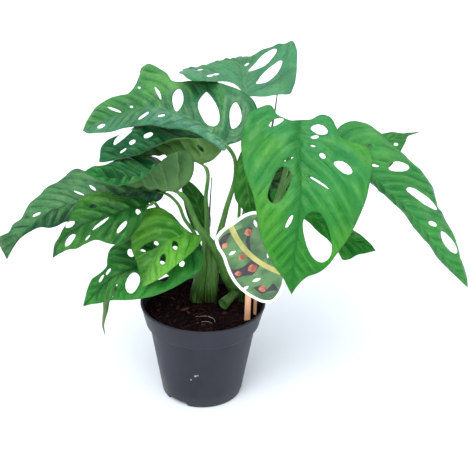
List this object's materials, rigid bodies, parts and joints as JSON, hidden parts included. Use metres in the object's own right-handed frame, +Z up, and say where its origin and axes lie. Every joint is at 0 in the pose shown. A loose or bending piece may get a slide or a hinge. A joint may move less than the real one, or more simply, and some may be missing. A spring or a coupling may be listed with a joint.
{
  "type": "potted swiss cheese vine",
  "caption": "Houseplant in a plain nursery pot: arching stalks carry pointed, slotted leaves over soil, with a printed label on a stick; it stands freely on a shelf or table.",
  "frame": {"origin": "middle of the pot's flat underside", "axes": "+Z up along the pot's axis; the plant's best side looks towards -Y and +X is to its viewer's right"},
  "size_m": [0.421, 0.2441, 0.3243],
  "materials": {
    "pot": "thin slate-grey nursery pot plastic, satin, slightly scuffed",
    "soil": "damp near-black potting soil with brown fibres",
    "stem": "smooth green stalk, slightly glossy",
    "leaf": "smooth mid-green leaf with pressed side veins and a soft sheen",
    "leaf_dark": "dark green leaf with pressed side veins, paler below",
    "leaf_young": "light yellow-green young leaf",
    "label": null,
    "stick": "bare light wood"
  },
  "bodies": {
    "root": {"pot": "pot", "soil": "soil", "shoot_left": "stem", "shoot_middle": "stem", "shoot_right": "stem", "leaf_front_right": "leaf", "leaf_top": "leaf", "leaf_upper_left": "leaf", "leaf_mid_left": "leaf_dark", "leaf_inner_left": "leaf_dark", "leaf_far_left": "leaf", "leaf_lower_left": "leaf_young", "leaf_young": "leaf_young", "leaf_low_left": "leaf", "leaf_far_right": "leaf", "leaf_back_right": "leaf", "leaf_low_right": "leaf_dark", "leaf_middle": "leaf_dark", "leaf_back_middle": "leaf_dark", "leaf_small": "leaf_dark", "label": "label", "stick_front": "stick", "stick_back": "stick"}
  },
  "joints": []
}
